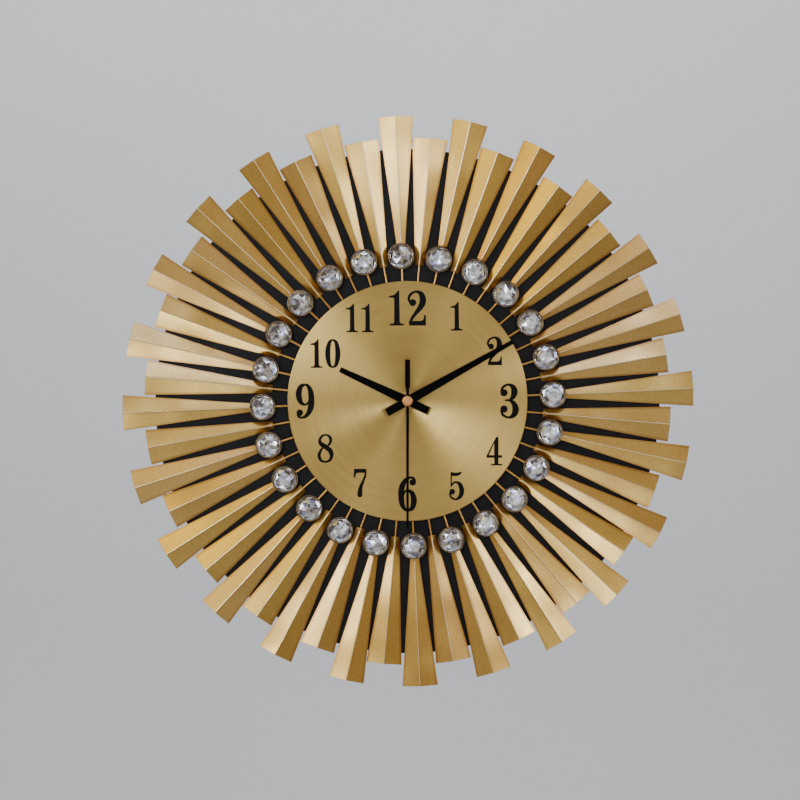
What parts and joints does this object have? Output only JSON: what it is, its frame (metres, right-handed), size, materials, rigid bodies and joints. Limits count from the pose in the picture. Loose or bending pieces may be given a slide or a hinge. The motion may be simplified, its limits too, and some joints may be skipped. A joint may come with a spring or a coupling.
{
  "type": "sunburst wall clock",
  "caption": "Round sunburst wall clock: folded metal rays on a welded frame around a brushed dial, faceted stones in cups, three hands and a quartz movement behind.",
  "frame": {"origin": "centre line of the hands, on the flat back face of the movement cover that rests on the wall", "axes": "+Z towards twelve o'clock, +X towards three o'clock, -Y out of the dial towards the viewer, +Y into the wall"},
  "size_m": [0.5008, 0.0342, 0.5008],
  "materials": {
    "gold_paint": "satin metallic gold paint on folded sheet",
    "dial_gold": "spun-brushed, pale gold anodised",
    "black_paint": "matt black",
    "hand_black": "satin black paint",
    "crystal": "clear, faceted, foil-backed",
    "black_plastic": "fine moulded texture",
    "white_plastic": "moulded acetal",
    "brass": "turned",
    "rose_gold": "polished rose gold plate",
    "steel": "zinc plated",
    "rubber": "matt",
    "copper": "enamelled wire",
    "board": "solder resist",
    "battery_can": "printed sleeve, plain"
  },
  "bodies": {
    "root": {"dial": "dial_gold", "backing_disc": "black_paint", "outer_ray_frame": "gold_paint", "inner_ray_frame": "gold_paint", "crystal_01": "crystal", "crystal_02": "crystal", "crystal_03": "crystal", "crystal_04": "crystal", "crystal_05": "crystal", "crystal_06": "crystal", "crystal_07": "crystal", "crystal_08": "crystal", "crystal_09": "crystal", "crystal_10": "crystal", "crystal_11": "crystal", "crystal_12": "crystal", "crystal_13": "crystal", "crystal_14": "crystal", "crystal_15": "crystal", "crystal_16": "crystal", "crystal_17": "crystal", "crystal_18": "crystal", "crystal_19": "crystal", "crystal_20": "crystal", "crystal_21": "crystal", "crystal_22": "crystal", "crystal_23": "crystal", "crystal_24": "crystal", "movement_case": "black_plastic", "movement_back_cover": "black_plastic", "middle_plate": "white_plastic", "hanger": "steel", "rubber_washer": "rubber", "dial_washer": "brass", "mounting_nut": "brass", "stator": "steel", "coil": "copper", "circuit_board": "board", "quartz_can": "steel", "contact_positive": "steel", "contact_negative": "steel"},
    "second": {"second_hand": "hand_black", "seconds_wheel": "steel", "centre_cap": "rose_gold"},
    "rotor": {"rotor": "white_plastic"},
    "fifth": {"fifth_wheel": "white_plastic"},
    "third": {"third_wheel": "white_plastic"},
    "centre": {"centre_wheel": "white_plastic"},
    "minute": {"minute_hand": "hand_black", "minute_cannon": "brass"},
    "motion": {"minute_wheel": "white_plastic"},
    "hour": {"hour_hand": "hand_black", "hour_wheel": "brass"},
    "setting": {"setting_knob": "white_plastic"},
    "battery": {"battery": "battery_can"}
  },
  "joints": [
    {"name": "second_hand_spin", "type": "hinge", "parent": "root", "child": "second", "pos_m": [0, 0, 0], "axis": [0, 1, 0], "continuous": true},
    {"name": "rotor_spin", "type": "hinge", "parent": "root", "child": "rotor", "pos_m": [0.0166, 0, 0.00354], "axis": [0, 1, 0], "continuous": true},
    {"name": "fifth_wheel_spin", "type": "hinge", "parent": "root", "child": "fifth", "pos_m": [0.00826, 0, 0.00578], "axis": [0, 1, 0], "continuous": true},
    {"name": "third_wheel_spin", "type": "hinge", "parent": "root", "child": "third", "pos_m": [-0.00541, 0, 0.00773], "axis": [0, 1, 0], "continuous": true},
    {"name": "centre_wheel_spin", "type": "hinge", "parent": "root", "child": "centre", "pos_m": [0, 0, 0], "axis": [0, 1, 0], "continuous": true},
    {"name": "minute_hand_spin", "type": "hinge", "parent": "root", "child": "minute", "pos_m": [0, 0, 0], "axis": [0, 1, 0], "continuous": true},
    {"name": "minute_wheel_spin", "type": "hinge", "parent": "root", "child": "motion", "pos_m": [-0.0045, 0, -0.00779], "axis": [0, 1, 0], "continuous": true},
    {"name": "hour_hand_spin", "type": "hinge", "parent": "root", "child": "hour", "pos_m": [0, 0, 0], "axis": [0, 1, 0], "continuous": true},
    {"name": "setting_knob_spin", "type": "hinge", "parent": "root", "child": "setting", "pos_m": [-0.0138, 0, -0.01118], "axis": [0, 1, 0], "continuous": true},
    {"name": "battery_slide", "type": "slide", "parent": "root", "child": "battery", "axis": [0, 1, 0], "range_m": [0, 0.02]}
  ],
  "couplings": [
    {"joint": "rotor_spin", "follows": "second_hand_spin", "ratio": 30},
    {"joint": "fifth_wheel_spin", "follows": "second_hand_spin", "ratio": -6},
    {"joint": "third_wheel_spin", "follows": "second_hand_spin", "ratio": -0.13333},
    {"joint": "centre_wheel_spin", "follows": "second_hand_spin", "ratio": 0.016667},
    {"joint": "minute_wheel_spin", "follows": "minute_hand_spin", "ratio": -0.33333},
    {"joint": "hour_hand_spin", "follows": "minute_hand_spin", "ratio": 0.083333},
    {"joint": "setting_knob_spin", "follows": "minute_hand_spin", "ratio": 0.71429}
  ]
}
